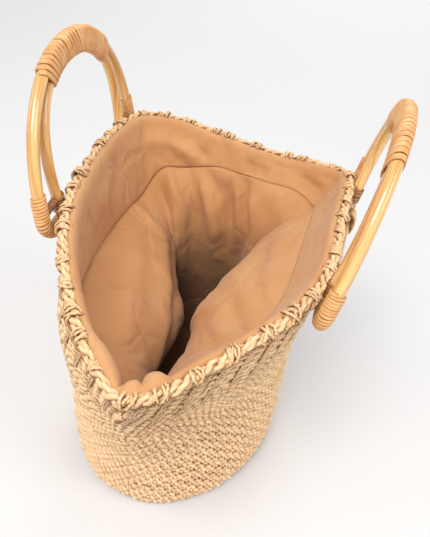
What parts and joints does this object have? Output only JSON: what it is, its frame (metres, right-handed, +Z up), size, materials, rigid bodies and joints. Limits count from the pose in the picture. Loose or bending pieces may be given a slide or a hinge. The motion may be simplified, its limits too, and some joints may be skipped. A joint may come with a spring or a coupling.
{
  "type": "straw basket bag",
  "caption": "Woven straw basket bag with a soft pointed mouth, a sewn cloth lining and a pair of D-shaped rattan hoop handles.",
  "frame": {"origin": "centre of the underside of the floor, where the basket rests", "axes": "+Z up, +Y along the mouth towards its broad far side (its narrow pointed end is towards -Y), +X towards the right handle"},
  "size_m": [0.2499, 0.3058, 0.3483],
  "materials": {
    "woven_straw": "dry twisted straw rope, matt",
    "braided_straw": "dry twisted straw rope, matt, lighter",
    "lining_cloth": "plain tan polyester-cotton cloth, matt",
    "rattan": "clear-varnished honey rattan cane",
    "rattan_peel": "split rattan peel, half matt"
  },
  "bodies": {
    "root": {"basket_body": "woven_straw", "rim_braid": "braided_straw", "lining_facing": "lining_cloth", "lining_bag_left": "lining_cloth", "lining_bag_right": "lining_cloth", "lining_floor": "lining_cloth", "left_hoop": "rattan", "left_arch": "rattan", "left_grip_wrap": "rattan_peel", "left_near_binding": "rattan_peel", "left_near_tie": "rattan_peel", "left_far_binding": "rattan_peel", "left_far_tie": "rattan_peel", "left_near_lashing": "braided_straw", "left_far_lashing": "braided_straw", "right_hoop": "rattan", "right_arch": "rattan", "right_grip_wrap": "rattan_peel", "right_near_binding": "rattan_peel", "right_near_tie": "rattan_peel", "right_far_binding": "rattan_peel", "right_far_tie": "rattan_peel", "right_near_lashing": "braided_straw", "right_far_lashing": "braided_straw"}
  },
  "joints": []
}
